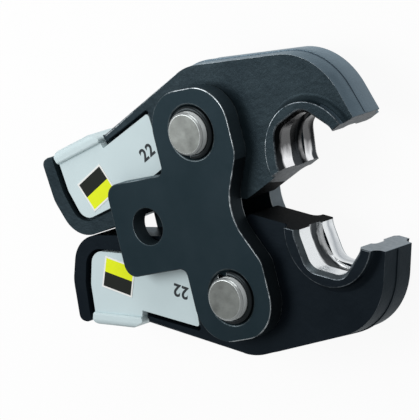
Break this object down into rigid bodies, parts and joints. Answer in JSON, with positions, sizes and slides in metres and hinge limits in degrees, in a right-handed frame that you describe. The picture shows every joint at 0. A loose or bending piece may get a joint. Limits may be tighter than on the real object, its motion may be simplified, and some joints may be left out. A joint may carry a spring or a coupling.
{
  "type": "press fitting tool jaw",
  "caption": "Scissor-style jaw for a press fitting tool: two forged levers on pins between side plates, hexagonal press profile, roller tracks and pale plastic thumb grips.",
  "frame": {"origin": "on the axis of the retaining bolt's hole, half way between the two side plates", "axes": "+X towards the mouth of the jaw, +Y towards the upper lever, +Z out of the front side plate, the labelled side"},
  "size_m": [0.131, 0.0956, 0.0328],
  "materials": {
    "forged_steel": "burnished, fine blasted texture, bright worn edges",
    "plate_steel": "burnished satin",
    "pin_steel": "turned and ground",
    "ring_steel": "bright spring wire",
    "spring_steel": "oiled spring wire",
    "grip_plastic": "fine moulded grain",
    "label_film": "printed film"
  },
  "bodies": {
    "side_frame": {"front_side_plate": "plate_steel", "rear_side_plate": "plate_steel", "upper_pivot_pin": "pin_steel", "lower_pivot_pin": "pin_steel", "upper_front_snap_ring": "ring_steel", "upper_rear_snap_ring": "ring_steel", "lower_front_snap_ring": "ring_steel", "lower_rear_snap_ring": "ring_steel", "closing_spring": "spring_steel"},
    "upper_lever": {"upper_jaw": "forged_steel", "upper_grip": "grip_plastic", "upper_label": "label_film"},
    "lower_lever": {"lower_jaw": "forged_steel", "lower_grip": "grip_plastic", "lower_label": "label_film"}
  },
  "joints": [
    {"name": "upper_lever_hinge", "type": "hinge", "parent": "side_frame", "child": "upper_lever", "pos_m": [0.027, 0.027, 0], "axis": [0, 0, -1], "range_deg": [0, 21], "deforming": ["closing_spring"]},
    {"name": "lower_lever_hinge", "type": "hinge", "parent": "side_frame", "child": "lower_lever", "pos_m": [0.027, -0.027, 0], "axis": [0, 0, 1], "range_deg": [0, 21]}
  ]
}
